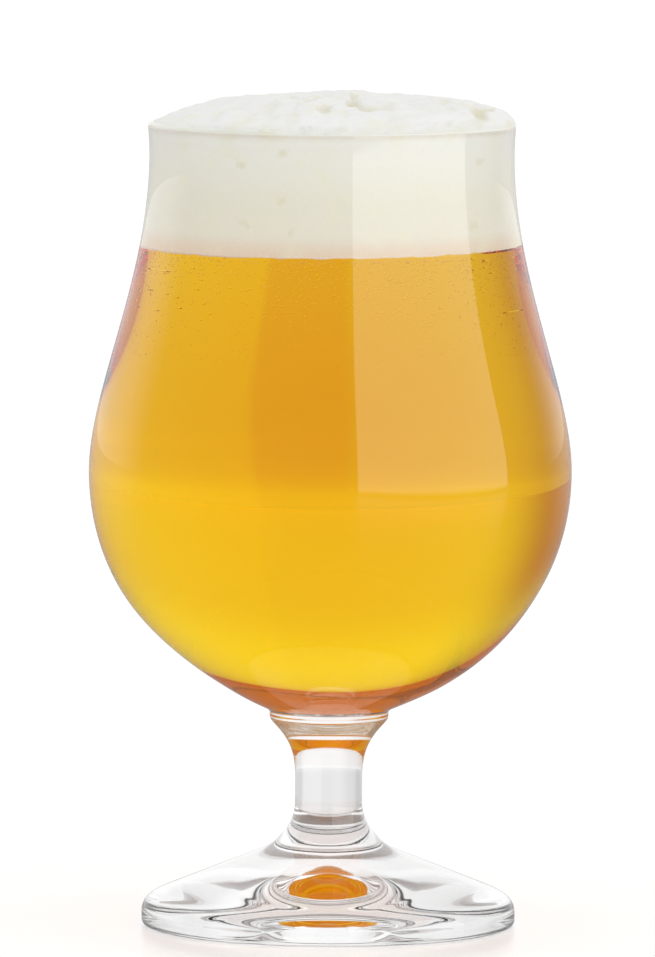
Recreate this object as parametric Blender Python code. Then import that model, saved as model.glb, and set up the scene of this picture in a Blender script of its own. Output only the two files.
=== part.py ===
# A stemmed tulip beer glass, poured full: foot, stem and bowl of clear glass, the beer and its foam head.
# Metres, +Z up. The origin is on the table, on the axis of the glass.

import math

import bmesh
import bpy

# Foot: a pressed cone with a thick round edge, hollowed underneath so that it stands on a ring
FOOT_RADIUS = 0.0368
FOOT_HEIGHT = 0.0165           # table to the seat of the stem
FOOT_EDGE_HEIGHT = 0.0027      # table to where the foot is widest
FOOT_CORNER_RADIUS = 0.0012    # lower corner of the edge
CONE_TOP_RADIUS = 0.0180
CONE_TOP_DROP = 0.0035         # seat of the stem down to the top of the cone
CONE_END_INSET = 0.0050        # widest radius in to the lower end of the cone
CONE_END_RISE = 0.0047         # widest height up to the lower end of the cone
REST_RING_WIDTH = 0.0022
RECESS_DEPTH = 0.0058
RECESS_FULLNESS = 1.25         # exponent of the hollow's curve: 1 is a cone, 2 is a shallow bowl

# Stem: solid, drawn in at the middle, with a collar under the bowl and a flare over the foot
STEM_LENGTH = 0.0258
STEM_RADIUS = 0.0066
STEM_BASE_RADIUS = 0.0104
STEM_BASE_FLARE = 0.0080       # height of the lower flare
COLLAR_RADIUS = 0.0117
COLLAR_EDGE = 0.0017           # height of the collar's upright edge
COLLAR_FLARE = 0.0115          # height of the flare under that edge
FLARE_SLOPE = math.radians(48)  # where a flare meets the collar or the foot, below level

# Bowl: a blown tulip, widest low down, drawn in to the neck and opened a little at the lip
BOWL_HEIGHT = 0.1156           # seat on the stem to the rim
BOWL_SEAT_RADIUS = 0.0120
BELLY_RADIUS = 0.0475
BELLY_RISE = 0.0469            # seat up to the belly
NECK_RADIUS = 0.03585
NECK_DROP = 0.0065             # rim down to the neck
RIM_RADIUS = 0.0361
WALL = 0.0020
BOTTOM_THICKNESS = 0.0032
BOTTOM_SLOPE = math.radians(22.5)

# Drink
FOAM_DEPTH = 0.0247            # rim down to the beer
FOAM_CROWN = 0.0059            # rim up to the top of the foam
FOAM_SHOULDER = 2.5            # exponent of the crown's superellipse: 2 is round, more is squarer

# Room left where one piece seats on or in another
SEAM_GAP = 0.0003

# Fullness of the curves: a handle's length as a share of the curve's own span
BELLY_UNDER_FULLNESS = 0.65
BELLY_SIDE_FULLNESS = 0.474
SHOULDER_FULLNESS = 0.257
NECK_FULLNESS = 0.392
LIP_FULLNESS = 0.33
LIP_LEAN = 1.5                 # slope of the lip at its bead, as a multiple of its mean slope
INNER_BOTTOM_FULLNESS = 0.78
INNER_SIDE_FULLNESS = 0.376
FLARE_FULLNESS = 0.55
EDGE_FULLNESS = 0.55           # about a circle's quarter

# Facets
SEGMENTS = 48
LONG_CURVE_STEPS = 11
SHORT_CURVE_STEPS = 6
LIP_STEPS = 3
SHARP_ANGLE = math.radians(35)
WELD_DISTANCE = 0.000001

# Surfaces
GLASS_COLOUR = (0.93, 0.95, 0.95)
GLASS_ROUGHNESS = 0.02
GLASS_INDEX = 1.52
BEER_COLOUR = (0.87, 0.45, 0.03)
BEER_ROUGHNESS = 0.03
BEER_INDEX = 1.34
FOAM_COLOUR = (0.87, 0.83, 0.74)
FOAM_ROUGHNESS = 0.85


def bezier(start, lead, pull, end, steps):
    """Points of a cubic curve from start to end, pulled by its two handles."""
    points = []
    for step in range(steps + 1):
        t = step / steps
        weights = ((1 - t) ** 3, 3 * (1 - t) ** 2 * t, 3 * (1 - t) * t ** 2, t ** 3)
        corners = (start, lead, pull, end)
        points.append(tuple(sum(w * c[axis] for w, c in zip(weights, corners)) for axis in (0, 1)))
    return points


def along(point, angle, distance):
    """The point at a distance from another, at an angle above the outward level."""
    return (point[0] + distance * math.cos(angle), point[1] + distance * math.sin(angle))


def arc(centre, radius, first, last, steps):
    """Points of a circular arc between two angles."""
    angles = [first + (last - first) * step / steps for step in range(steps + 1)]
    return [along(centre, angle, radius) for angle in angles]


def chain(*runs):
    """One profile from several runs of points, without the points that runs share."""
    profile = []
    for run in runs:
        for point in run:
            if not profile or math.dist(profile[-1], point) > WELD_DISTANCE:
                profile.append(point)
    return profile


def inset(profile, gap):
    """A profile moved to its left by a gap, with points on the axis kept there."""
    moved = []
    for index, (radius, height) in enumerate(profile):
        before = profile[max(index - 1, 0)]
        after = profile[min(index + 1, len(profile) - 1)]
        run = math.dist(before, after)
        left = ((before[1] - after[1]) / run, (after[0] - before[0]) / run)
        on_axis = radius < WELD_DISTANCE
        moved.append((0.0 if on_axis else radius + gap * left[0], height + gap * left[1]))
    return moved


def split(profile, level):
    """A rising profile cut at a height: the run below it and the run above it."""
    index = next(i for i, point in enumerate(profile) if point[1] > level)
    low, high = profile[index - 1], profile[index]
    share = (level - low[1]) / (high[1] - low[1])
    cut = (low[0] + share * (high[0] - low[0]), level)
    return profile[:index] + [cut], [cut] + profile[index:]


def material(name, colour, roughness, clear=False, index_of_refraction=1.5):
    """A plain dielectric surface, seen through where it is clear."""
    made = bpy.data.materials.new(name)
    made.use_nodes = True
    shader = made.node_tree.nodes["Principled BSDF"]
    shader.inputs["Base Color"].default_value = (*colour, 1.0)
    shader.inputs["Roughness"].default_value = roughness
    shader.inputs["Metallic"].default_value = 0.0
    shader.inputs["Transmission Weight"].default_value = 1.0 if clear else 0.0
    shader.inputs["IOR"].default_value = index_of_refraction
    return made


def turned(name, profile, surface, parent, height=0.0):
    """A solid of revolution about Z from a profile of (radius, height) points that ends on the axis."""
    shape = bmesh.new()
    points = [shape.verts.new((radius, 0.0, up)) for radius, up in profile]
    edges = [shape.edges.new(pair) for pair in zip(points, points[1:])]
    bmesh.ops.spin(
        shape, geom=points + edges, cent=(0, 0, 0), axis=(0, 0, 1), angle=math.tau, steps=SEGMENTS
    )
    bmesh.ops.remove_doubles(shape, verts=shape.verts, dist=WELD_DISTANCE)
    bmesh.ops.recalc_face_normals(shape, faces=shape.faces)
    mesh = bpy.data.meshes.new(name)
    shape.to_mesh(mesh)
    shape.free()
    mesh.shade_smooth()
    mesh.set_sharp_from_angle(angle=SHARP_ANGLE)
    mesh.materials.append(surface)
    piece = bpy.data.objects.new(name, mesh)
    piece.location.z = height
    piece.parent = parent
    bpy.context.scene.collection.objects.link(piece)
    return piece


def foot_profile():
    """Seat of the stem, out over the cone, round the edge and in under the recess."""
    cone_top = (CONE_TOP_RADIUS, FOOT_HEIGHT - CONE_TOP_DROP)
    cone_end = (FOOT_RADIUS - CONE_END_INSET, FOOT_EDGE_HEIGHT + CONE_END_RISE)
    slope = math.atan2(cone_top[1] - cone_end[1], cone_end[0] - cone_top[0])
    seat_edge = (STEM_BASE_RADIUS, FOOT_HEIGHT)
    widest = (FOOT_RADIUS, FOOT_EDGE_HEIGHT)
    fillet = bezier(
        seat_edge,
        along(seat_edge, -FLARE_SLOPE, FLARE_FULLNESS * CONE_TOP_DROP),
        along(cone_top, math.pi - slope, FLARE_FULLNESS * CONE_TOP_DROP),
        cone_top,
        SHORT_CURVE_STEPS,
    )
    edge = bezier(
        cone_end,
        along(cone_end, -slope, EDGE_FULLNESS * CONE_END_INSET),
        along(widest, math.pi / 2, EDGE_FULLNESS * CONE_END_RISE),
        widest,
        SHORT_CURVE_STEPS,
    )
    corner = arc(
        (FOOT_RADIUS - FOOT_CORNER_RADIUS, FOOT_CORNER_RADIUS), FOOT_CORNER_RADIUS, 0, -math.pi / 2, LIP_STEPS
    )
    recess_radius = FOOT_RADIUS - FOOT_CORNER_RADIUS - REST_RING_WIDTH
    recess = []
    for step in range(LONG_CURVE_STEPS + 1):
        share = 1 - step / LONG_CURVE_STEPS
        recess.append((recess_radius * share, RECESS_DEPTH * (1 - share ** RECESS_FULLNESS)))
    return chain([(0.0, FOOT_HEIGHT)], fillet, edge, corner, recess)


def stem_profile():
    """Seat of the bowl, over the collar and down the drawn-in stem to its base."""
    edge_end = (COLLAR_RADIUS, STEM_LENGTH - COLLAR_EDGE)
    waist_top = (STEM_RADIUS, edge_end[1] - COLLAR_FLARE)
    waist_end = (STEM_RADIUS, STEM_BASE_FLARE)
    base = (STEM_BASE_RADIUS, 0.0)
    under_collar = FLARE_FULLNESS * (COLLAR_RADIUS - STEM_RADIUS) / math.cos(FLARE_SLOPE)
    over_base = FLARE_FULLNESS * (STEM_BASE_RADIUS - STEM_RADIUS) / math.cos(FLARE_SLOPE)
    upper = bezier(
        edge_end,
        along(edge_end, math.pi + FLARE_SLOPE, under_collar),
        along(waist_top, math.pi / 2, FLARE_FULLNESS * COLLAR_FLARE),
        waist_top,
        SHORT_CURVE_STEPS,
    )
    lower = bezier(
        waist_end,
        along(waist_end, -math.pi / 2, FLARE_FULLNESS * STEM_BASE_FLARE),
        along(base, math.pi - FLARE_SLOPE, over_base),
        base,
        SHORT_CURVE_STEPS,
    )
    return chain([(0.0, STEM_LENGTH), (COLLAR_RADIUS, STEM_LENGTH)], upper, lower, [(0.0, 0.0)])


def upper_wall(thickness):
    """The bowl's side from the belly up to the rim's bead, a wall's thickness in from the outside."""
    neck_height = BOWL_HEIGHT - NECK_DROP
    span = neck_height - BELLY_RISE
    belly = (BELLY_RADIUS - thickness, BELLY_RISE)
    neck = (NECK_RADIUS - thickness, neck_height)
    bead = (RIM_RADIUS - thickness, BOWL_HEIGHT - WALL / 2)
    side = bezier(
        belly,
        along(belly, math.pi / 2, SHOULDER_FULLNESS * span),
        along(neck, -math.pi / 2, NECK_FULLNESS * span),
        neck,
        LONG_CURVE_STEPS,
    )
    lip_reach = LIP_FULLNESS * (bead[1] - neck[1])
    lip_slope = math.atan2(bead[1] - neck[1], LIP_LEAN * (bead[0] - neck[0]))
    lip = bezier(
        neck, along(neck, math.pi / 2, lip_reach), along(bead, lip_slope, -lip_reach), bead, LIP_STEPS
    )
    return chain(side, lip)


def inner_wall():
    """The inside of the bowl, from the middle of its bottom up to the rim's bead."""
    bottom = (0.0, BOTTOM_THICKNESS)
    belly = (BELLY_RADIUS - WALL, BELLY_RISE)
    lower = bezier(
        bottom,
        along(bottom, 0.0, INNER_BOTTOM_FULLNESS * belly[0]),
        along(belly, -math.pi / 2, INNER_SIDE_FULLNESS * (belly[1] - bottom[1])),
        belly,
        LONG_CURVE_STEPS,
    )
    return chain(lower, upper_wall(WALL))


def bowl_profile():
    """Up the inside, over the fire-polished rim and down the outside to the seat."""
    bead = arc(
        (RIM_RADIUS - WALL / 2, BOWL_HEIGHT - WALL / 2), WALL / 2, math.pi, 0, SHORT_CURVE_STEPS
    )
    outside = list(reversed(upper_wall(0.0)))
    belly = outside[-1]
    seat_edge = (BOWL_SEAT_RADIUS, 0.0)
    under = bezier(
        belly,
        along(belly, -math.pi / 2, BELLY_SIDE_FULLNESS * BELLY_RISE),
        along(seat_edge, BOTTOM_SLOPE, BELLY_UNDER_FULLNESS * (BELLY_RADIUS - BOWL_SEAT_RADIUS)),
        seat_edge,
        LONG_CURVE_STEPS,
    )
    return chain(inner_wall(), bead, outside, under, [(0.0, 0.0)])


def drink_profiles():
    """The beer up to its level, and the foam from there to its crown above the rim."""
    beer_level = BOWL_HEIGHT - FOAM_DEPTH
    wall = inset(inner_wall(), SEAM_GAP)
    beer_side = split(wall, beer_level)[0]
    foam_side = split(wall, beer_level + SEAM_GAP)[1]
    beer = chain([(0.0, beer_level)], reversed(beer_side))
    shoulder = foam_side[-1]
    crown_height = BOWL_HEIGHT + FOAM_CROWN - shoulder[1]
    crown = []
    for step in range(SHORT_CURVE_STEPS + 1):
        angle = math.pi / 2 * (1 - step / SHORT_CURVE_STEPS)
        out = max(math.cos(angle), 0.0) ** (2 / FOAM_SHOULDER)
        up = math.sin(angle) ** (2 / FOAM_SHOULDER)
        crown.append((shoulder[0] * out, shoulder[1] + crown_height * up))
    crown[0] = (0.0, shoulder[1] + crown_height)
    foam = chain(crown, reversed(foam_side), [(0.0, beer_level + SEAM_GAP)])
    return beer, foam


def build():
    for old in list(bpy.data.objects):
        bpy.data.objects.remove(old)

    foot_glass = material("foot_glass", GLASS_COLOUR, GLASS_ROUGHNESS, True, GLASS_INDEX)
    stem_glass = material("stem_glass", GLASS_COLOUR, GLASS_ROUGHNESS, True, GLASS_INDEX)
    bowl_glass = material("bowl_glass", GLASS_COLOUR, GLASS_ROUGHNESS, True, GLASS_INDEX)
    golden_beer = material("golden_beer", BEER_COLOUR, BEER_ROUGHNESS, True, BEER_INDEX)
    white_foam = material("white_foam", FOAM_COLOUR, FOAM_ROUGHNESS)

    table = bpy.data.objects.new("table_point", None)
    bpy.context.scene.collection.objects.link(table)

    stem_seat = FOOT_HEIGHT + SEAM_GAP
    bowl_seat = stem_seat + STEM_LENGTH + SEAM_GAP
    turned("foot", foot_profile(), foot_glass, table)
    turned("stem", stem_profile(), stem_glass, table, stem_seat)
    bowl = turned("bowl", bowl_profile(), bowl_glass, table, bowl_seat)
    beer, foam = drink_profiles()
    turned("beer", beer, golden_beer, bowl)
    turned("foam_head", foam, white_foam, bowl)


build()
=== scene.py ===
import bisect
import math
import random

import bmesh
import bpy
from mathutils import Matrix, Vector, noise


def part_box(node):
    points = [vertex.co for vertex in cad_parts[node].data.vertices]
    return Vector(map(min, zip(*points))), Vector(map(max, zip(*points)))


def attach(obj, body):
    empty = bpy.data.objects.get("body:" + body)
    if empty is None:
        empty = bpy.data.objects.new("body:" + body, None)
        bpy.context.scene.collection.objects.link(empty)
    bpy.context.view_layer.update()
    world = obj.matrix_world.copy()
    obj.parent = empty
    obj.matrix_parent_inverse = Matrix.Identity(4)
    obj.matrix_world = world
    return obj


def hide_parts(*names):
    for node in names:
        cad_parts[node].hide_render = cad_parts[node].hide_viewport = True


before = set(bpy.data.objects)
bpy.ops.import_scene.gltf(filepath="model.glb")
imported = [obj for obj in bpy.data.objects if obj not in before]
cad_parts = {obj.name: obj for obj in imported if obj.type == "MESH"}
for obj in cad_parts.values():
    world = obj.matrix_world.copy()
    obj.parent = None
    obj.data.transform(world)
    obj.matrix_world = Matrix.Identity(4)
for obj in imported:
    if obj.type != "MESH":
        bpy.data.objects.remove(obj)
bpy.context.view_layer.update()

# Sizes read from the frame, in metres
_, FOOT_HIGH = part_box("foot")
STEM_LOW, STEM_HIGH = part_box("stem")
BOWL_LOW, BOWL_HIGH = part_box("bowl")
_, BEER_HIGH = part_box("beer")
FOAM_LOW, FOAM_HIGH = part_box("foam_head")

FOOT_RADIUS = FOOT_HIGH.x
COLLAR_RADIUS = STEM_HIGH.x
BELLY_RADIUS = BOWL_HIGH.x
FOOT_SEAM = (FOOT_HIGH.z + STEM_LOW.z) / 2     # the fused joints stand in the middle of the solids' gaps
BOWL_SEAM = (STEM_HIGH.z + BOWL_LOW.z) / 2
RIM_TOP = BOWL_HIGH.z
BEER_LEVEL = (BEER_HIGH.z + FOAM_LOW.z) / 2
FOAM_TOP = FOAM_HIGH.z

# Sizes of the turned profiles that the frame's boxes don't give
FOOT_EDGE_HEIGHT = 0.0027
FOOT_CORNER_RADIUS = 0.0012
CONE_TOP_RADIUS = 0.0180
CONE_TOP_DROP = 0.0035
CONE_END_INSET = 0.0050
CONE_END_RISE = 0.0047
REST_RING_WIDTH = 0.0022
RECESS_DEPTH = 0.0058
RECESS_FULLNESS = 1.25
STEM_RADIUS = 0.0066
STEM_BASE_RADIUS = 0.0104
STEM_BASE_FLARE = 0.0080
COLLAR_EDGE = 0.0017
COLLAR_FLARE = 0.0115
FLARE_SLOPE = math.radians(48)
BOWL_SEAT_RADIUS = 0.0120
BELLY_HEIGHT = BOWL_LOW.z + 0.0469
NECK_RADIUS = 0.03585
NECK_HEIGHT = RIM_TOP - 0.0065
RIM_RADIUS = 0.0361
WALL = 0.0020
INNER_BOTTOM = BOWL_LOW.z + 0.0032
BOTTOM_SLOPE = math.radians(22.5)

# Fullness of the curves, as shares of their spans
BELLY_UNDER_FULLNESS = 0.65
BELLY_SIDE_FULLNESS = 0.474
SHOULDER_FULLNESS = 0.257
NECK_FULLNESS = 0.392
LIP_FULLNESS = 0.33
LIP_LEAN = 1.5
INNER_BOTTOM_FULLNESS = 0.78
INNER_SIDE_FULLNESS = 0.376
FLARE_FULLNESS = 0.55
EDGE_FULLNESS = 0.55

# Foam: a crown that lies over the rim's bead, with lumps and large bubbles, and with pits round two
# places that are given by x, y and their reach across and from front to back
OVERHANG = math.radians(20)    # how far round the bead's outside the foam stops, above the level
CROWN_SHARE = 0.86             # the crown without its lumps, as a share of the whole rise
CROWN_LEFT = (0.08, 2.8, 0.9)  # at the left: fall to the edge, squareness and bluntness of the edge
CROWN_RIGHT = (0.25, 8.0, 0.5)
CROWN_EDGE = 0.12              # share of the radius over which the lumps die out towards the edge
MOUND = (0.0005, -0.004, 0.010, 0.0009)          # x, y, radius and height of the middle's swelling
LUMPS = ((0.0100, 0.00115), (0.0045, 0.00070), (0.0020, 0.00028))       # size and height
PITTED = ((0.0005, -0.012, 0.011, 0.018), (0.0270, -0.008, 0.006, 0.012))
PIT_SIZE = (0.0034, 0.0085)    # across and from front to back
PIT_DEPTH = 0.0014
PIT_EDGE = (-0.05, 0.35)       # the levels of the noise between which a pit deepens
PIT_SLICE = 4.0                # the height at which the noise is cut
SPOTS = (                      # x, height and radius of large bubbles that lie against the glass
    (-0.0096, 0.1450, 0.0010),
    (-0.0165, 0.1405, 0.0009),
    (-0.0094, 0.1545, 0.0011),
    (-0.0173, 0.1518, 0.0010),
    (-0.0076, 0.1391, 0.0008),
    (0.0280, 0.1520, 0.0009),
    (0.0270, 0.1395, 0.0009),
)
SPOT_EDGE = (0.2, 1.3)         # where a spot fades out, in radii
SPOT_RAGGED = 0.0032           # how uneven their outlines are
SPOT_GRAIN = 0.0013
TILT = 0.0004                  # the beer's level stands higher by this at the right edge
RIPPLES = ((0.0040, 0.00018), (0.0016, 0.00020))      # size and height, where foam meets beer
RIPPLE_REACH = 0.0060          # how far up and down the unevenness dies out

# Bubbles in the beer
BUBBLES = 2600
BUBBLE_SEED = 7
BUBBLE_RADII = (0.00009, 0.00018)
BUBBLE_DEPTH = 0.0200          # how far below the foam they hang; most of them are near it
BUBBLE_REACH = (0.0002, 0.0030)          # how far from the glass
BUBBLE_CLEARANCE = 3           # the highest centre is this many radii under the level
BALL_SUBDIVISIONS = 2

# Unevenness of the hot-worked glass
WAVES = (0.013, 0.00005)       # size and height of the stem's and the foot's
WAVE_GROUND = 0.0030           # the height over which they grow from the table up
WAVE_BOWL = (0.0030, 0.0060)   # how far under the bowl they have died out, and over which height
OUTER_SAG = 0.020              # slope by which the bowl's outside sags to the right, low down
INNER_SAG = -0.015             # and its inside
SAG_START = INNER_BOTTOM + 0.004
SAG_REACH = 0.018              # height over which the sag dies out

# Fineness of the meshes
GLASS_SEGMENTS = 192
DRINK_SEGMENTS = 384
LONG_STEPS = 56
SHORT_STEPS = 20
CORNER_STEPS = 6
SHARP_ANGLE = math.radians(30)
CORNER_REACH = 0.0007          # the corners that fire polishing rounds off
CORNER_ANGLE = math.radians(12)
SAME_POINT = 1e-6              # points that are nearer than this are one
ON_AXIS = 1e-9

# Glass and beer
GLASS_INDEX = 1.52
BEER_INDEX = 1.34
FOAM_INDEX = 1.10
WET_INDEX = GLASS_INDEX / BEER_INDEX
DAMP_INDEX = GLASS_INDEX / FOAM_INDEX
BUBBLE_INDEX = 0.87            # between the beer and the gas, softened for bubbles of a pixel or two
FILM = 0.00005                 # between the glass and the drink
WHITE = (1.0, 1.0, 1.0, 1.0)
CLEAR_TINT = (0.988, 0.994, 0.992, 1.0)          # of faint streaks in the glass
STREAK_SIZE = 0.012
HAZE_TINT = (1.0, 0.985, 0.96, 1.0)              # of faint haze on the beer
HAZE_SIZE = 0.020
BEER_COLOUR = (0.9886, 0.8914, 0.114, 1.0)
BEER_DENSITY = 70.0

# Looks of the foam, with the spans of height over which they change
FOAM_WHITE = (0.955, 0.955, 0.935, 1.0)
FOAM_PALE = (0.935, 0.94, 0.88, 1.0)
FOAM_CREAM = (0.89, 0.86, 0.74, 1.0)
# wet foam over the beer, with painted amber light that the beer passes up into it
FOAM_WET_AND_BEER_LIT = (0.88, 0.72, 0.56, 1.0)
FOAM_YELLOW = (0.91, 0.89, 0.70, 1.0)
# painted shade in the crown's pits, and also the colour of the large bubbles against the glass
FOAM_PIT_SHADE_AND_BUBBLE = (0.80, 0.76, 0.56, 1.0)
FOAM_ROUGHNESS = 0.85
# span and share of the wet foam's colour and its painted amber light
WET_AND_BEER_LIT_SPAN = (BEER_LEVEL + 0.0005, BEER_LEVEL + 0.0045)
WET_AND_BEER_LIT_SHARE = 0.8
DRAINED_SPAN = (BEER_LEVEL + 0.008, RIM_TOP)
CROWN_SPAN = (RIM_TOP - 0.0005, RIM_TOP + 0.0015)
BLOTCH_SIZE = 0.006
BLOTCH_DETAIL = 4.0
BLOTCH_EDGE = (0.50, 0.72)
BLOTCH_SHARE = 0.45
# how strongly the painted shade darkens the pits
PIT_SHADE_SHARE = 0.9
SPOT_SHARE = 0.5
CELL_SIZE = 0.0009             # of the fine bubbles, which are only a roughness
CELL_GRAIN = 0.0004
CELL_RELIEF = 0.0002
CELL_STRENGTH = 0.35
UNDER_BUBBLES = 0.002          # bubbles on the foam's underside
UNDER_EDGE = (0.35, 0.65)
# painted glow of the underside, in place of light passed down through the foam from the crown
UNDER_GLOW = 0.27

# Kinds of rays, told by how many surfaces they passed or were thrown back by
ANY = 0.5
THROUGH_DRINK = 4.5
RUN_ROUND = 8.5                # thrown round inside the drink's edge

# Surroundings: azimuths from straight behind the glass to its right, in radians
FLANK_START = (0.60, 0.80)
RIGHT_END = (1.9, 2.2)
LEFT_END = (-1.4, -1.15)
LEFT_HAZE = (-0.50, -0.20)     # a faint grey before the left flank
LEFT_HAZE_DEPTH = 0.10
LEFT_SHADE = (-0.75, -0.30)    # the left flank as the drink shows it
LEFT_SHADE_DEPTH = 0.24
STRIP_START = (-0.05, -0.02)   # a narrow strip behind the glass, which the drink shows as a band
STRIP_END = (0.130, 0.155)

# Backdrop and sky
WORLD_LIGHT = 0.87             # the level at which the surroundings light matt surfaces
WORLD_FLANK_DEPTH = 0.12
WORLD_GLEAM = 0.02
WORLD_FRONT = 0.20             # what mirrors show of the room on the camera's side
WORLD_BACK = (0.50, 0.92)      # how far back a direction points where that room gives way to white
WORLD_BACK_LEFT = (0.0, 0.60)
WORLD_LOW = (1.04, 1.0, 1.0, 1.0)
WORLD_LOW_SPAN = (0.0, 0.05)   # spans of how far up a direction points
WORLD_HIGH = (1.12, 1.22, 0.80, 1.0)
WORLD_HIGH_SPAN = (0.22, 0.50)
WORLD_TOP = (0.75, 0.50, 0.35, 1.0)
WORLD_TOP_SPAN = (0.80, 0.95)
WORLD_SIDE = (0.82, 0.50, 0.55, 1.0)
WORLD_SIDE_EDGE = (-0.85, -0.40)
WORLD_ROUND = (0.50, 0.27, 0.23, 1.0)

# Table: its paint, its glow and the distances at which they change
TABLE_HALF_WIDTH = 6.0
TABLE_SEEN = (0.90, 0.90, 0.90, 1.0)
TABLE_PAINT = (0.585, 0.577, 0.585, 1.0)
TABLE_SIDE = (0.64, 0.49, 0.48, 1.0)
TABLE_SIDE_EDGE = (-0.70, -0.35)
TABLE_ROUND = (0.26, 0.16, 0.14, 1.0)
TABLE_MIRRORED = (0.15, 0.148, 0.15, 1.0)
# painted shadow under the foot, for rays that the glass threw back
TABLE_SHADOW_UNDER_FOOT = (0.40, 0.394, 0.40, 1.0)
UNDER_FOOT = (0.0340, 0.0370)
TABLE_ROUGHNESS = 0.6
TABLE_FAR = (0.25, 2.2)
TABLE_VERY_FAR = (0.8, 3.0)
TABLE_FLANK_DEPTH = 0.20
TABLE_GLEAM = 0.05
TABLE_LIT = 0.68               # what the light that falls on the paint gives already
TABLE_GAIN = 0.165             # brighter far away
TABLE_LOSS = 0.14              # darker far away, for rays that miss the drink
TABLE_GLOW = 0.27              # for the camera
TABLE_AMBER = (1.0, 0.76, 0.50, 1.0)
TABLE_STRIP = (1.0, 0.50, 0.36, 1.0)
GLOSS_ROUGHNESS = 0.20
GLOSS_INDEX = 1.5
GLOSS_SHARE = 0.8
GLOSS_LIMIT = 0.28
GLOSS_REACH = (0.35, 0.75)     # the camera sees the table's gloss only this near to the glass

# Softbox, in front of the glass and to its right
SOFTBOX_SIZE = (1.15, 1.10)
SOFTBOX_AZIMUTH = math.radians(52)
SOFTBOX_HEIGHT = 0.40
SOFTBOX_REACH = 0.70
SOFTBOX_STEP = 0.01
SOFTBOX_FADE = (0.13, 0.17)    # share of its height at which its lower edge fades in
SHINE = 1.25                   # its mirror image
FILL = 0.30                    # its light through the glass
KEY = 0.25                     # its light on matt surfaces

# Light paths
CLEAR_BOUNCES = 96
MATT_BOUNCES = 16

# Camera: where the photograph was taken from
CAMERA_DISTANCE = 2.4
CAMERA_HEIGHT = 0.30
AIM = Vector((-0.00055, 0.0, 0.08825))
ROLL = math.radians(0.3)
PIXELS_PER_METRE = 5084.0
IMAGE_LONG_SIDE = 957
SENSOR = 36.0


def bezier(start, lead, pull, end, steps):
    """Points of a cubic curve from start to end, pulled by its two handles."""
    points = []
    for step in range(steps + 1):
        t = step / steps
        weights = ((1 - t) ** 3, 3 * (1 - t) ** 2 * t, 3 * (1 - t) * t ** 2, t ** 3)
        corners = (start, lead, pull, end)
        points.append(tuple(sum(w * c[axis] for w, c in zip(weights, corners)) for axis in (0, 1)))
    return points


def along(point, angle, distance):
    """The point at a distance from another, at an angle above the outward level."""
    return (point[0] + distance * math.cos(angle), point[1] + distance * math.sin(angle))


def along_to(start, end):
    """The point two thirds of the way from one point to another."""
    return tuple(a + (b - a) * 2 / 3 for a, b in zip(start, end))


def arc(centre, radius, first, last, steps):
    """Points of a circular arc between two angles."""
    angles = [first + (last - first) * step / steps for step in range(steps + 1)]
    return [along(centre, angle, radius) for angle in angles]


def line(start, end, steps):
    """Evenly spaced points from start to end."""
    shares = [step / steps for step in range(steps + 1)]
    return [tuple(a + (b - a) * share for a, b in zip(start, end)) for share in shares]


def inset(profile, gap):
    """A profile moved to its left by a gap, with points on the axis kept there."""
    moved = []
    for index, (radius, height) in enumerate(profile):
        before = profile[max(index - 1, 0)]
        after = profile[min(index + 1, len(profile) - 1)]
        run = math.dist(before, after)
        left = ((before[1] - after[1]) / run, (after[0] - before[0]) / run)
        on_axis = radius < ON_AXIS
        moved.append((0.0 if on_axis else radius + gap * left[0], height + gap * left[1]))
    return moved


def split(profile, level):
    """A rising profile cut at a height: the run below it and the run above it."""
    index = next(i for i, point in enumerate(profile) if point[1] > level)
    low, high = profile[index - 1], profile[index]
    share = (level - low[1]) / (high[1] - low[1])
    cut = (low[0] + share * (high[0] - low[0]), level)
    return profile[:index] + [cut], [cut] + profile[index:]


def softened(profile, reach, angle):
    """A profile with every corner sharper than an angle rounded off, over a reach to both sides."""
    lengths = [0.0]
    for before, after in zip(profile, profile[1:]):
        lengths.append(lengths[-1] + math.dist(before, after))
    headings = [math.atan2(b[1] - a[1], b[0] - a[0]) for a, b in zip(profile, profile[1:])]
    corners = []
    for index in range(1, len(profile) - 1):
        turn = math.remainder(headings[index] - headings[index - 1], math.tau)
        if abs(turn) > angle:
            corners.append(index)

    def at(length):
        index = next(i for i, far in enumerate(lengths) if far >= length)
        share = (length - lengths[index - 1]) / (lengths[index] - lengths[index - 1])
        return tuple(a + (b - a) * share for a, b in zip(profile[index - 1], profile[index]))

    smoothed = []
    for index, point in enumerate(profile):
        near = [c for c in corners if abs(lengths[c] - lengths[index]) < reach]
        if index in corners:
            first, last = at(lengths[index] - reach), at(lengths[index] + reach)
            smoothed += bezier(first, along_to(first, point), along_to(last, point), last, CORNER_STEPS)
        elif not near:
            smoothed.append(point)
    return smoothed


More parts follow.
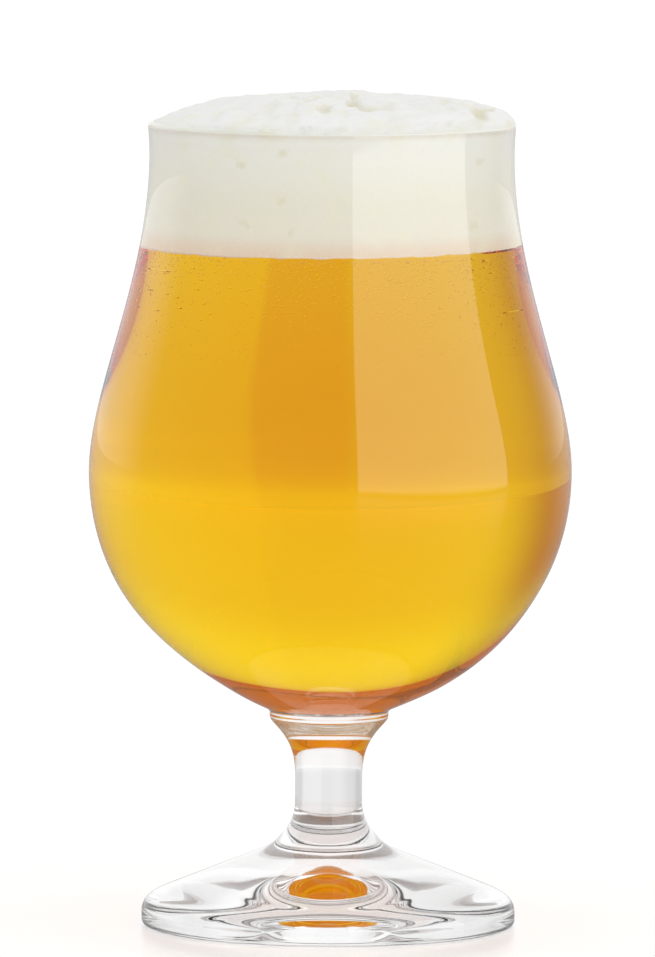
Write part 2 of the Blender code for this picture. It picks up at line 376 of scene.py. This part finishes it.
def turned(name, runs, materials, segments, shape):
    """A closed solid of revolution from runs of (radius, height) points, each with its material's place.

    The runs start and end on the axis and go down the outside. shape moves each finished point.
    """
    profile, faces_of = [runs[0][0][0]], []
    for points, place in runs:
        for point in points:
            if math.dist(point, profile[-1]) > SAME_POINT:
                profile.append(point)
                faces_of.append(place)
    verts, rings = [], []
    for radius, height in profile:
        if radius < ON_AXIS:
            rings.append([len(verts)] * segments)
            verts.append(Vector((0.0, 0.0, height)))
        else:
            rings.append(range(len(verts), len(verts) + segments))
            for step in range(segments):
                angle = math.tau * step / segments
                verts.append(Vector((radius * math.cos(angle), radius * math.sin(angle), height)))
    faces, places = [], []
    for upper, lower, place in zip(rings, rings[1:], faces_of):
        for step in range(segments):
            after = (step + 1) % segments
            corners = [upper[step], lower[step], lower[after], upper[after]]
            faces.append(list(dict.fromkeys(corners)))
            places.append(place)
    verts = [shape(v) for v in verts]
    mesh = bpy.data.meshes.new(name)
    mesh.from_pydata(verts, [], faces)
    mesh.polygons.foreach_set("material_index", places)
    mesh.shade_smooth()
    mesh.set_sharp_from_angle(angle=SHARP_ANGLE)
    for surface in materials:
        mesh.materials.append(surface)
    piece = bpy.data.objects.new(name, mesh)
    bpy.context.scene.collection.objects.link(piece)
    return piece


def foot_side():
    """The foot's outside, from the stem's base down and round to the middle of the hollow underneath."""
    cone_top = (CONE_TOP_RADIUS, FOOT_HIGH.z - CONE_TOP_DROP)
    cone_end = (FOOT_RADIUS - CONE_END_INSET, FOOT_EDGE_HEIGHT + CONE_END_RISE)
    slope = math.atan2(cone_top[1] - cone_end[1], cone_end[0] - cone_top[0])
    seat_edge = (STEM_BASE_RADIUS, FOOT_SEAM)
    widest = (FOOT_RADIUS, FOOT_EDGE_HEIGHT)
    fillet = bezier(
        seat_edge,
        along(seat_edge, -FLARE_SLOPE, FLARE_FULLNESS * CONE_TOP_DROP),
        along(cone_top, math.pi - slope, FLARE_FULLNESS * CONE_TOP_DROP),
        cone_top,
        SHORT_STEPS,
    )
    edge = bezier(
        cone_end,
        along(cone_end, -slope, EDGE_FULLNESS * CONE_END_INSET),
        along(widest, math.pi / 2, EDGE_FULLNESS * CONE_END_RISE),
        widest,
        SHORT_STEPS,
    )
    corner_centre = (FOOT_RADIUS - FOOT_CORNER_RADIUS, FOOT_CORNER_RADIUS)
    corner = arc(corner_centre, FOOT_CORNER_RADIUS, 0, -math.pi / 2, SHORT_STEPS)
    recess_radius = corner_centre[0] - REST_RING_WIDTH
    recess = []
    for step in range(LONG_STEPS):
        share = 1 - step / LONG_STEPS
        recess.append((recess_radius * share, RECESS_DEPTH * (1 - share ** RECESS_FULLNESS)))
    cone = line(cone_top, cone_end, SHORT_STEPS)
    return fillet + cone + edge + corner + recess + [(0.0, RECESS_DEPTH)]


def stem_side():
    """The stem's outside, from the collar under the bowl down to the foot."""
    edge_end = (COLLAR_RADIUS, STEM_HIGH.z - COLLAR_EDGE)
    waist_top = (STEM_RADIUS, edge_end[1] - COLLAR_FLARE)
    waist_end = (STEM_RADIUS, STEM_LOW.z + STEM_BASE_FLARE)
    base = (STEM_BASE_RADIUS, FOOT_SEAM)
    collar_top = (COLLAR_RADIUS, BOWL_SEAM)
    under_collar = FLARE_FULLNESS * (COLLAR_RADIUS - STEM_RADIUS) / math.cos(FLARE_SLOPE)
    over_base = FLARE_FULLNESS * (STEM_BASE_RADIUS - STEM_RADIUS) / math.cos(FLARE_SLOPE)
    upper = bezier(
        edge_end,
        along(edge_end, math.pi + FLARE_SLOPE, under_collar),
        along(waist_top, math.pi / 2, FLARE_FULLNESS * COLLAR_FLARE),
        waist_top,
        SHORT_STEPS,
    )
    lower = bezier(
        waist_end,
        along(waist_end, -math.pi / 2, FLARE_FULLNESS * STEM_BASE_FLARE),
        along(base, math.pi - FLARE_SLOPE, over_base),
        base,
        SHORT_STEPS,
    )
    return [collar_top] + upper + line(waist_top, waist_end, SHORT_STEPS) + lower


def upper_wall(thickness):
    """The bowl's side from the belly up to the rim's bead."""
    span = NECK_HEIGHT - BELLY_HEIGHT
    belly = (BELLY_RADIUS - thickness, BELLY_HEIGHT)
    neck = (NECK_RADIUS - thickness, NECK_HEIGHT)
    bead = (RIM_RADIUS - thickness, RIM_TOP - WALL / 2)
    side = bezier(
        belly,
        along(belly, math.pi / 2, SHOULDER_FULLNESS * span),
        along(neck, -math.pi / 2, NECK_FULLNESS * span),
        neck,
        LONG_STEPS,
    )
    reach = LIP_FULLNESS * (bead[1] - neck[1])
    lean = math.atan2(bead[1] - neck[1], LIP_LEAN * (bead[0] - neck[0]))
    lip = bezier(neck, along(neck, math.pi / 2, reach), along(bead, lean, -reach), bead, SHORT_STEPS)
    return side + lip[1:]


def inner_wall():
    """The inside of the bowl, from the middle of its bottom up to the rim's bead."""
    bottom = (0.0, INNER_BOTTOM)
    belly = (BELLY_RADIUS - WALL, BELLY_HEIGHT)
    lower = bezier(
        bottom,
        along(bottom, 0.0, INNER_BOTTOM_FULLNESS * belly[0]),
        along(belly, -math.pi / 2, INNER_SIDE_FULLNESS * (belly[1] - bottom[1])),
        belly,
        LONG_STEPS,
    )
    return lower + upper_wall(WALL)[1:]


INNER_WALL = inner_wall()
DRINK_WALL = inset(INNER_WALL, FILM)


def bowl_side():
    """The bowl's outside, over the rim's bead and down to the collar."""
    bead = arc((RIM_RADIUS - WALL / 2, RIM_TOP - WALL / 2), WALL / 2, math.pi, 0, SHORT_STEPS)
    outside = list(reversed(upper_wall(0.0)))
    belly = outside[-1]
    seat_edge = (BOWL_SEAT_RADIUS, BOWL_SEAM)
    under = bezier(
        belly,
        along(belly, -math.pi / 2, BELLY_SIDE_FULLNESS * (belly[1] - BOWL_SEAM)),
        along(seat_edge, BOTTOM_SLOPE, BELLY_UNDER_FULLNESS * (BELLY_RADIUS - BOWL_SEAT_RADIUS)),
        seat_edge,
        LONG_STEPS,
    )
    return bead + outside + under


def eased(value, low, high):
    """A soft step from 0 to 1 as a value goes from low to high."""
    share = min(max((value - low) / (high - low), 0.0), 1.0)
    return share * share * (3 - 2 * share)


def radius_at(wall, height):
    """The radius of a rising wall at a height."""
    index = min(max(bisect.bisect(wall, height, key=lambda point: point[1]), 1), len(wall) - 1)
    low, high = wall[index - 1], wall[index]
    return low[0] + (high[0] - low[0]) * (height - low[1]) / (high[1] - low[1])


def swell(place, size, height):
    """Smooth unevenness of a size and height at a place."""
    return height * noise.noise(Vector(place) / size)


def sagged(place):
    """A point of the bowl or the drink, moved as the hot bottom of the blown bowl sagged."""
    radius = math.hypot(place.x, place.y)
    low = 1 - eased(place.z, SAG_START, SAG_START + SAG_REACH)
    if place.z < BOWL_SEAM or low == 0.0:
        return place
    inside = place.z > INNER_BOTTOM - WALL / 4 and radius < radius_at(INNER_WALL, place.z) + WALL / 4
    slope = INNER_SAG if inside else OUTER_SAG * eased(radius, COLLAR_RADIUS, 2 * COLLAR_RADIUS)
    return place - Vector((0.0, 0.0, slope * low * place.x))


def wavy(place):
    """A point of the stem or foot, moved in or out by the unevenness of hot-worked glass."""
    ground = min(place.z / WAVE_GROUND, 1.0)
    bowl = min(max((BOWL_SEAM - WAVE_BOWL[0] - place.z) / WAVE_BOWL[1], 0.0), 1.0)
    out = Vector((place.x, place.y, 0.0))
    if out.length < ON_AXIS:
        return place
    return sagged(place + out.normalized() * ground * bowl * swell(place, *WAVES))


def settled(place):
    """A point of the drink, moved as the surface between beer and foam tilts and ruffles."""
    near = max(1 - abs(place.z - BEER_LEVEL) / RIPPLE_REACH, 0.0)
    if near == 0.0:
        return sagged(place)
    edge = radius_at(DRINK_WALL, place.z)
    rise = TILT * place.x / edge
    rise += sum(swell((place.x, place.y, 0.0), size, height) for size, height in RIPPLES)
    height = place.z + eased(near, 0.0, 1.0) * rise
    spread = radius_at(DRINK_WALL, height) / edge
    return Vector((place.x * spread, place.y * spread, height))


def crown_height(place, radius):
    """How high the foam's crown stands at a place, as a share of its rise."""
    share = min(math.hypot(place.x, place.y) / radius, 1.0)
    side = (place.x / radius + 1) / 2
    fall, square, blunt = [a + (b - a) * side for a, b in zip(CROWN_LEFT, CROWN_RIGHT)]
    return (1 - fall * share) * max(1 - share ** square, 0.0) ** blunt


def pitted(place):
    """How deep in an irregular pit of the crown a place lies, from 0 to 1."""
    near = 0.0
    for x, y, wide, long in PITTED:
        near = max(near, math.exp(-((place.x - x) / wide) ** 2 - ((place.y - y) / long) ** 2))
    level = noise.noise((place.x / PIT_SIZE[0], place.y / PIT_SIZE[1], PIT_SLICE))
    return near * eased(level, *PIT_EDGE)


def crown_relief(place):
    """The height of the lumps, the mound and the pits at a place on the crown."""
    flat = Vector((place.x, place.y, 0.0))
    relief = sum(swell(flat, size, height) for size, height in LUMPS)
    x, y, radius, height = MOUND
    relief += height * math.exp(-((place.x - x) ** 2 + (place.y - y) ** 2) / radius ** 2)
    return relief - PIT_DEPTH * pitted(place)


def node(tree, kind, **settings):
    """A shader node, with its settings given by name."""
    made = tree.nodes.new(kind)
    for name, value in settings.items():
        setattr(made, name, value)
    return made


def feed(tree, socket, value):
    """A link from another socket into a socket, or a plain value set on it."""
    if isinstance(value, bpy.types.NodeSocket):
        tree.links.new(value, socket)
    else:
        socket.default_value = value


def maths(tree, operation, *values):
    """The result of a math node."""
    made = node(tree, "ShaderNodeMath", operation=operation)
    for socket, value in zip(made.inputs, values):
        feed(tree, socket, value)
    return made.outputs[0]


def total(tree, first, *others):
    """The sum of some values."""
    for other in others:
        first = maths(tree, "ADD", first, other)
    return first


def times(tree, first, *others):
    """The product of some values."""
    for other in others:
        first = maths(tree, "MULTIPLY", first, other)
    return first


def rest_of(tree, value):
    """What a value leaves of 1."""
    return maths(tree, "SUBTRACT", 1.0, value)


def diagonal(tree, first, second):
    """The distance that two distances at right angles make."""
    squares = total(tree, times(tree, first, first), times(tree, second, second))
    return maths(tree, "POWER", squares, 0.5)


def smooth(tree, value, span, start=0.0, end=1.0):
    """A soft step from start to end as a value goes through a span."""
    made = node(tree, "ShaderNodeMapRange", interpolation_type="SMOOTHSTEP")
    feed(tree, made.inputs["Value"], value)
    for name, level in zip(("From Min", "From Max", "To Min", "To Max"), (*span, start, end)):
        made.inputs[name].default_value = level
    return made.outputs[0]


def mix(tree, factor, first, second):
    """A blend of two colours."""
    made = node(tree, "ShaderNodeMix", data_type="RGBA")
    feed(tree, made.inputs["Factor"], factor)
    feed(tree, made.inputs["A"], first)
    feed(tree, made.inputs["B"], second)
    return made.outputs["Result"]


def grain(tree, place, size, detail=2.0):
    """Soft noise with features of a size."""
    made = node(tree, "ShaderNodeTexNoise")
    feed(tree, made.inputs["Vector"], place)
    made.inputs["Scale"].default_value = 1 / size
    made.inputs["Detail"].default_value = detail
    return made.outputs["Fac"]


def own_place(tree):
    """Where a point of a piece is, in the piece's own frame."""
    return node(tree, "ShaderNodeTexCoord").outputs["Object"]


def parted(tree, vector):
    """The x, y and z of a vector."""
    made = node(tree, "ShaderNodeSeparateXYZ")
    tree.links.new(vector, made.inputs[0])
    return made.outputs["X"], made.outputs["Y"], made.outputs["Z"]


def new_material(name):
    made = bpy.data.materials.new(name)
    made.use_nodes = True
    return made, made.node_tree, made.node_tree.nodes["Principled BSDF"]


def clear_material(name, index):
    """Glass, or a bubble's skin, with an index between its two sides."""
    made, tree, shader = new_material(name)
    streaks = grain(tree, own_place(tree), STREAK_SIZE)
    feed(tree, shader.inputs["Base Color"], mix(tree, streaks, WHITE, CLEAR_TINT))
    shader.inputs["Roughness"].default_value = 0.0
    shader.inputs["IOR"].default_value = index
    shader.inputs["Transmission Weight"].default_value = 1.0
    return made


def beer_material():
    """Clear beer, which doesn't bend light itself, because the glass round it does."""
    made, tree, shader = new_material("lager")
    haze = grain(tree, own_place(tree), HAZE_SIZE)
    feed(tree, shader.inputs["Base Color"], mix(tree, haze, WHITE, HAZE_TINT))
    shader.inputs["Roughness"].default_value = 0.0
    shader.inputs["IOR"].default_value = 1.0
    shader.inputs["Transmission Weight"].default_value = 1.0
    absorption = node(tree, "ShaderNodeVolumeAbsorption")
    absorption.inputs["Color"].default_value = BEER_COLOUR
    absorption.inputs["Density"].default_value = BEER_DENSITY
    tree.links.new(absorption.outputs[0], tree.nodes["Material Output"].inputs["Volume"])
    return made


def foam_material():
    """Fine foam: wet, with painted amber light, over the beer; drained and pale further up; white on the
    crown; with large bubbles, and painted shade in the crown's pits.
    """
    made, tree, shader = new_material("fine_foam")
    place = own_place(tree)
    across, away, height = parted(tree, place)
    colour = mix(tree, smooth(tree, height, DRAINED_SPAN), FOAM_CREAM, FOAM_PALE)
    colour = mix(tree, smooth(tree, height, CROWN_SPAN), colour, FOAM_WHITE)
    # wet foam and painted amber light from the beer, fading out above its level
    wet = smooth(tree, height, WET_AND_BEER_LIT_SPAN, 1.0, 0.0)
    colour = mix(tree, times(tree, wet, WET_AND_BEER_LIT_SHARE), colour, FOAM_WET_AND_BEER_LIT)
    blotches = smooth(tree, grain(tree, place, BLOTCH_SIZE, BLOTCH_DETAIL), BLOTCH_EDGE, 0.0, BLOTCH_SHARE)
    colour = mix(tree, blotches, colour, FOAM_YELLOW)
    # painted shade: the deeper a place lies in a pit of the crown, the darker it is painted
    pit_shade = node(tree, "ShaderNodeAttribute", attribute_name="hollow").outputs["Fac"]
    colour = mix(tree, times(tree, pit_shade, PIT_SHADE_SHARE), colour, FOAM_PIT_SHADE_AND_BUBBLE)
    front = maths(tree, "LESS_THAN", away, 0.0)
    uneven = maths(tree, "SUBTRACT", grain(tree, place, SPOT_GRAIN), 0.5)
    for x, z, radius in SPOTS:
        sideways = maths(tree, "SUBTRACT", across, x)
        upward = maths(tree, "SUBTRACT", height, z)
        ragged = total(tree, diagonal(tree, sideways, upward), times(tree, uneven, SPOT_RAGGED))
        spot = smooth(tree, ragged, [share * radius for share in SPOT_EDGE], SPOT_SHARE, 0.0)
        colour = mix(tree, times(tree, spot, front), colour, FOAM_PIT_SHADE_AND_BUBBLE)
    feed(tree, shader.inputs["Base Color"], colour)
    shader.inputs["Roughness"].default_value = FOAM_ROUGHNESS
    shader.inputs["IOR"].default_value = BEER_INDEX
    cells = node(tree, "ShaderNodeTexVoronoi", feature="SMOOTH_F1")
    tree.links.new(place, cells.inputs["Vector"])
    cells.inputs["Scale"].default_value = 1 / CELL_SIZE
    bump = node(tree, "ShaderNodeBump")
    bump.inputs["Strength"].default_value = CELL_STRENGTH
    bump.inputs["Distance"].default_value = CELL_RELIEF
    relief = total(tree, cells.outputs["Distance"], grain(tree, place, CELL_GRAIN))
    feed(tree, bump.inputs["Height"], relief)
    tree.links.new(bump.outputs[0], shader.inputs["Normal"])
    return made


def underside_material():
    """The foam over the beer, with a painted glow in place of the light that falls on the crown and passes
    down through the foam.
    """
    made, tree, shader = new_material("lit_foam")
    bubbles = smooth(tree, grain(tree, own_place(tree), UNDER_BUBBLES), UNDER_EDGE)
    feed(tree, shader.inputs["Base Color"], mix(tree, bubbles, FOAM_WET_AND_BEER_LIT, FOAM_CREAM))
    shader.inputs["Roughness"].default_value = FOAM_ROUGHNESS
    feed(tree, shader.inputs["Emission Color"], mix(tree, bubbles, FOAM_CREAM, FOAM_WHITE))
    shader.inputs["Emission Strength"].default_value = UNDER_GLOW
    return made


class Rays:
    """What the light path tells of a ray that reaches the surroundings, as values that are 0 or 1."""

    def __init__(self, tree):
        path = node(tree, "ShaderNodeLightPath").outputs
        self.seen = path["Is Camera Ray"]
        self.glossy = path["Is Glossy Ray"]
        self.refracted = path["Is Transmission Ray"]
        self.in_drink = maths(tree, "GREATER_THAN", path["Transmission Depth"], THROUGH_DRINK)
        self.ran_round = maths(tree, "GREATER_THAN", path["Transmission Depth"], RUN_ROUND)
        self.bounced = maths(tree, "GREATER_THAN", path["Glossy Depth"], ANY)
        self.on_matt = maths(tree, "GREATER_THAN", path["Diffuse Depth"], ANY)


def surroundings(tree, azimuth, depth, gleam, in_drink):
    """How bright the backdrop is in a direction: white behind the glass, with grey flanks.

    The flanks have a depth for rays that miss the drink. Rays through it see a shade on the left alone.
    From the strip's right edge on, the backdrop gleams.
    """
    right = times(
        tree,
        smooth(tree, azimuth, FLANK_START, 0.0, depth),
        smooth(tree, azimuth, RIGHT_END, 1.0, 0.0),
    )
    left = maths(
        tree,
        "MAXIMUM",
        smooth(tree, azimuth, [-edge for edge in reversed(FLANK_START)], depth, 0.0),
        smooth(tree, azimuth, LEFT_HAZE, LEFT_HAZE_DEPTH, 0.0),
    )
    left_end = smooth(tree, azimuth, LEFT_END)
    flanks = total(tree, right, times(tree, left, left_end))
    shade = times(tree, smooth(tree, azimuth, LEFT_SHADE, LEFT_SHADE_DEPTH, 0.0), left_end)
    grey = total(tree, times(tree, flanks, rest_of(tree, in_drink)), times(tree, shade, in_drink))
    bright = smooth(tree, azimuth, STRIP_END, 1.0, 1.0 + gleam)
    return maths(tree, "SUBTRACT", bright, grey)


def left_side(tree, azimuth, edge):
    """Whether a direction is on the left flank, which starts at an edge."""
    return times(tree, smooth(tree, azimuth, edge, 1.0, 0.0), smooth(tree, azimuth, LEFT_END))


def floor_material():
    """A pale table, with a paint and a glow for each kind of ray, a painted shadow under the foot, and a
    gloss near the glass.
    """
    made, tree, shader = new_material("pale_table")
    rays = Rays(tree)
    across, away, _ = parted(tree, own_place(tree))
    distance = diagonal(tree, across, away)
    azimuth = maths(tree, "ARCTAN2", across, away)
    mirrored = times(tree, rays.glossy, rest_of(tree, rays.refracted))
    # painted shadow on the table under the foot, which rays thrown back by the glass see; it has no glow
    under = times(tree, rays.bounced, smooth(tree, distance, UNDER_FOOT, 1.0, 0.0))

    paint = mix(tree, rays.seen, TABLE_PAINT, TABLE_SEEN)
    side = times(tree, rays.in_drink, left_side(tree, azimuth, TABLE_SIDE_EDGE))
    paint = mix(tree, side, paint, TABLE_SIDE)
    paint = mix(tree, rays.ran_round, paint, TABLE_ROUND)
    paint = mix(tree, mirrored, paint, TABLE_MIRRORED)
    paint = mix(tree, under, paint, TABLE_SHADOW_UNDER_FOOT)
    feed(tree, shader.inputs["Base Color"], paint)
    shader.inputs["Roughness"].default_value = TABLE_ROUGHNESS
    shader.inputs["Specular IOR Level"].default_value = 0.0

    far = smooth(tree, distance, TABLE_FAR)
    around = surroundings(tree, azimuth, TABLE_FLANK_DEPTH, TABLE_GLEAM, rays.in_drink)
    very_far = smooth(tree, distance, TABLE_VERY_FAR)
    loss = times(tree, very_far, rest_of(tree, rays.in_drink), -TABLE_LOSS)
    level = total(tree, around, -TABLE_LIT, times(tree, far, TABLE_GAIN), loss)
    no_glow = maths(tree, "MAXIMUM", rays.seen, maths(tree, "MAXIMUM", mirrored, under))
    glow = times(tree, rest_of(tree, no_glow), level)
    strip = times(
        tree,
        smooth(tree, azimuth, STRIP_START),
        smooth(tree, azimuth, STRIP_END, 1.0, 0.0),
    )
    amber = mix(tree, strip, TABLE_AMBER, TABLE_STRIP)
    tint = mix(tree, times(tree, rays.in_drink, rest_of(tree, far)), WHITE, amber)
    feed(tree, shader.inputs["Emission Color"], tint)
    strength = maths(tree, "MAXIMUM", times(tree, rays.seen, TABLE_GLOW), glow)
    feed(tree, shader.inputs["Emission Strength"], strength)

    gloss = node(tree, "ShaderNodeBsdfGlossy")
    gloss.inputs["Color"].default_value = WHITE
    gloss.inputs["Roughness"].default_value = GLOSS_ROUGHNESS
    fresnel = node(tree, "ShaderNodeFresnel")
    fresnel.inputs["IOR"].default_value = GLOSS_INDEX
    sheen = times(tree, fresnel.outputs[0], GLOSS_SHARE)
    close_by = times(tree, rays.seen, smooth(tree, distance, GLOSS_REACH, 1.0, 0.0))
    faint = times(tree, close_by, maths(tree, "MINIMUM", sheen, GLOSS_LIMIT))
    blend = node(tree, "ShaderNodeMixShader")
    feed(tree, blend.inputs[0], total(tree, faint, times(tree, mirrored, sheen)))
    tree.links.new(shader.outputs[0], blend.inputs[1])
    tree.links.new(gloss.outputs[0], blend.inputs[2])
    tree.links.new(blend.outputs[0], tree.nodes["Material Output"].inputs["Surface"])
    return made


def make_glass():
    """Foot, stem and bowl in one closed piece, whose inside has its own surface against beer and foam."""
    dry = clear_material("polished_glass", GLASS_INDEX)
    wet = clear_material("wet_glass", WET_INDEX)
    damp = clear_material("damp_glass", DAMP_INDEX)
    outside = []
    for point in bowl_side() + stem_side() + foot_side():
        if not outside or math.dist(point, outside[-1]) > SAME_POINT:
            outside.append(point)
    outside = softened(outside, CORNER_REACH, CORNER_ANGLE)
    in_beer, in_foam = split(INNER_WALL, BEER_LEVEL)
    runs = [(in_beer, 1), (in_foam, 2), (outside, 0)]
    glass = turned("tulip_glass", runs, [dry, wet, damp], GLASS_SEGMENTS, wavy)
    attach(glass, "root")
    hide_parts("bowl", "stem", "foot")


def make_beer():
    beer_side, _ = split(DRINK_WALL, BEER_LEVEL - FILM / 2)
    surface = line((0.0, beer_side[-1][1]), beer_side[-1], SHORT_STEPS)
    runs = [(surface, 0), (list(reversed(beer_side)), 0)]
    beer = turned("beer_body", runs, [beer_material()], DRINK_SEGMENTS, settled)
    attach(beer, "root")
    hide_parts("beer")


def make_foam():
    """The foam from the beer up to the rim, over the rim's bead, and its crown."""
    _, foam_side = split(DRINK_WALL, BEER_LEVEL + FILM / 2)
    bead = (RIM_RADIUS - WALL / 2, RIM_TOP - WALL / 2)
    over = arc(bead, WALL / 2 + FILM, math.pi, OVERHANG, SHORT_STEPS)
    lip = over[-1]
    rise = FOAM_TOP - lip[1]

    def crown(place):
        radius = math.hypot(place.x, place.y)
        if place.z < lip[1] - SAME_POINT or radius > lip[0] - SAME_POINT:
            return settled(place)
        edge = min((1 - radius / lip[0]) / CROWN_EDGE, 1.0)
        height = lip[1] + rise * crown_height(place, lip[0]) * CROWN_SHARE + edge * crown_relief(place)
        return Vector((place.x, place.y, height))

    top = []
    for step in range(LONG_STEPS + 1):
        share = math.sin(math.pi / 2 * step / LONG_STEPS)
        top.append((lip[0] * share, lip[1] + rise * (1 - share)))
    base = line(foam_side[0], (0.0, foam_side[0][1]), SHORT_STEPS)
    runs = [(top, 0), (list(reversed(foam_side + over)), 0), (base, 1)]
    foam = turned("foam", runs, [foam_material(), underside_material()], DRINK_SEGMENTS, crown)
    places = [vertex.co for vertex in foam.data.vertices]
    # how deep each point lies in a pit of the crown, which the foam's colour turns into painted shade
    hollow = foam.data.attributes.new("hollow", "FLOAT", "POINT")
    hollow.data.foreach_set("value", [pitted(p) if p.z > RIM_TOP else 0.0 for p in places])
    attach(foam, "root")
    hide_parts("foam_head")


def make_bubbles():
    """Small bubbles that hang in the beer close to the glass, most of them under the foam."""
    chance = random.Random(BUBBLE_SEED)
    ball = bmesh.new()
    bmesh.ops.create_icosphere(ball, subdivisions=BALL_SUBDIVISIONS, radius=1.0)
    ball.verts.ensure_lookup_table()
    points = [vertex.co.copy() for vertex in ball.verts]
    corners = [[vertex.index for vertex in face.verts] for face in ball.faces]
    ball.free()
    verts, faces = [], []
    for _ in range(BUBBLES):
        size = chance.uniform(*BUBBLE_RADII)
        height = BEER_LEVEL - TILT - BUBBLE_CLEARANCE * size - chance.random() ** 2 * BUBBLE_DEPTH
        away = radius_at(DRINK_WALL, height) - size - chance.uniform(*BUBBLE_REACH)
        angle = chance.uniform(0.0, math.tau)
        centre = Vector((away * math.cos(angle), away * math.sin(angle), height))
        first = len(verts)
        verts += [centre + size * point for point in points]
        faces += [[first + corner for corner in face] for face in corners]
    mesh = bpy.data.meshes.new("bubbles")
    mesh.from_pydata(verts, [], faces)
    mesh.shade_smooth()
    mesh.materials.append(clear_material("bubble_skin", BUBBLE_INDEX))
    bubbles = bpy.data.objects.new("bubbles", mesh)
    bpy.context.scene.collection.objects.link(bubbles)
    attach(bubbles, "root")
    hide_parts("beer")


def make_world():
    """A white studio, with tints that only rays through the drink see."""
    world = bpy.data.worlds.new("studio")
    bpy.context.scene.world = world
    world.use_nodes = True
    tree = world.node_tree
    rays = Rays(tree)
    right, back, up = parted(tree, node(tree, "ShaderNodeTexCoord").outputs["Generated"])
    azimuth = maths(tree, "ARCTAN2", right, back)
    through = times(tree, rays.refracted, rest_of(tree, rays.seen))
    mirrored = rest_of(tree, maths(tree, "MAXIMUM", rays.seen, through))
    on_left = maths(tree, "LESS_THAN", right, 0.0)
    behind = maths(
        tree,
        "MAXIMUM",
        smooth(tree, back, WORLD_BACK, WORLD_FRONT, 1.0),
        times(tree, on_left, smooth(tree, back, WORLD_BACK_LEFT)),
    )
    backdrop = surroundings(tree, azimuth, WORLD_FLANK_DEPTH, WORLD_GLEAM, rays.in_drink)
    plain = total(tree, rays.seen, times(tree, through, backdrop), times(tree, mirrored, behind))
    not_on_matt = rest_of(tree, rays.on_matt)
    strength = total(tree, times(tree, rays.on_matt, WORLD_LIGHT), times(tree, not_on_matt, plain))

    high = smooth(tree, up, WORLD_HIGH_SPAN)
    side = times(tree, left_side(tree, azimuth, WORLD_SIDE_EDGE), rest_of(tree, high))
    tint = mix(tree, smooth(tree, up, WORLD_LOW_SPAN), WORLD_LOW, WHITE)
    tint = mix(tree, high, tint, WORLD_HIGH)
    tint = mix(tree, side, tint, WORLD_SIDE)
    tint = mix(tree, smooth(tree, up, WORLD_TOP_SPAN), tint, WORLD_TOP)
    tint = mix(tree, rays.ran_round, tint, WORLD_ROUND)
    background = tree.nodes["Background"]
    feed(tree, background.inputs["Color"], mix(tree, times(tree, rays.in_drink, not_on_matt), WHITE, tint))
    feed(tree, background.inputs["Strength"], strength)


def softbox(name, reach, radiance):
    """A rectangular lamp at a distance from the glass, which the camera doesn't see.

    The light that a softbox throws, the light that it sends through the glass and its mirror image are
    three lamps, one just behind the other.
    """
    width, height = SOFTBOX_SIZE
    centre = Vector((reach * math.sin(SOFTBOX_AZIMUTH), -reach * math.cos(SOFTBOX_AZIMUTH), SOFTBOX_HEIGHT))
    target = Vector((0.0, 0.0, SOFTBOX_HEIGHT))
    lamp = bpy.data.lights.new(name, "AREA")
    lamp.shape = "RECTANGLE"
    lamp.size = width
    lamp.size_y = height
    lamp.energy = radiance * width * height * math.pi
    lamp.use_nodes = True
    tree = lamp.node_tree
    _, upward, _ = parted(tree, node(tree, "ShaderNodeNewGeometry").outputs["Parametric"])
    feed(tree, tree.nodes["Emission"].inputs["Strength"], smooth(tree, upward, SOFTBOX_FADE))
    made = bpy.data.objects.new(name, lamp)
    made.location = centre
    made.rotation_euler = (target - centre).to_track_quat("-Z", "Y").to_euler()
    made.visible_camera = False
    bpy.context.scene.collection.objects.link(made)
    return made


def make_lamps():
    shine = softbox("softbox_shine", SOFTBOX_REACH, SHINE)
    shine.visible_diffuse = False
    shine.visible_transmission = False
    fill = softbox("softbox_fill", SOFTBOX_REACH + SOFTBOX_STEP, FILL)
    fill.visible_diffuse = False
    key = softbox("softbox_key", SOFTBOX_REACH + 2 * SOFTBOX_STEP, KEY)
    key.visible_glossy = False
    key.visible_transmission = False


def make_table():
    half = TABLE_HALF_WIDTH
    mesh = bpy.data.meshes.new("table")
    corners = [(-half, -half, 0.0), (half, -half, 0.0), (half, half, 0.0), (-half, half, 0.0)]
    mesh.from_pydata(corners, [], [(0, 1, 2, 3)])
    mesh.materials.append(floor_material())
    table = bpy.data.objects.new("table", mesh)
    bpy.context.scene.collection.objects.link(table)


def make_camera():
    camera = bpy.data.cameras.new("camera")
    place = Vector((0.0, -CAMERA_DISTANCE, CAMERA_HEIGHT))
    camera.sensor_width = SENSOR
    camera.lens = SENSOR * PIXELS_PER_METRE * (place - AIM).length / IMAGE_LONG_SIDE
    made = bpy.data.objects.new("camera", camera)
    turn = (AIM - place).to_track_quat("-Z", "Y").to_matrix() @ Matrix.Rotation(ROLL, 3, "Z")
    made.matrix_world = Matrix.Translation(place) @ turn.to_4x4()
    bpy.context.scene.collection.objects.link(made)
    bpy.context.scene.camera = made


def set_light_paths(scene):
    """Enough bounces for light that runs round in glass, and colours as they are written."""
    scene.view_settings.view_transform = "Standard"
    scene.cycles.max_bounces = CLEAR_BOUNCES
    scene.cycles.transmission_bounces = CLEAR_BOUNCES
    scene.cycles.glossy_bounces = CLEAR_BOUNCES
    scene.cycles.diffuse_bounces = MATT_BOUNCES
    scene.cycles.blur_glossy = 0.0


make_glass()
make_beer()
make_foam()
make_bubbles()
make_world()
make_table()
make_lamps()
make_camera()
set_light_paths(bpy.context.scene)
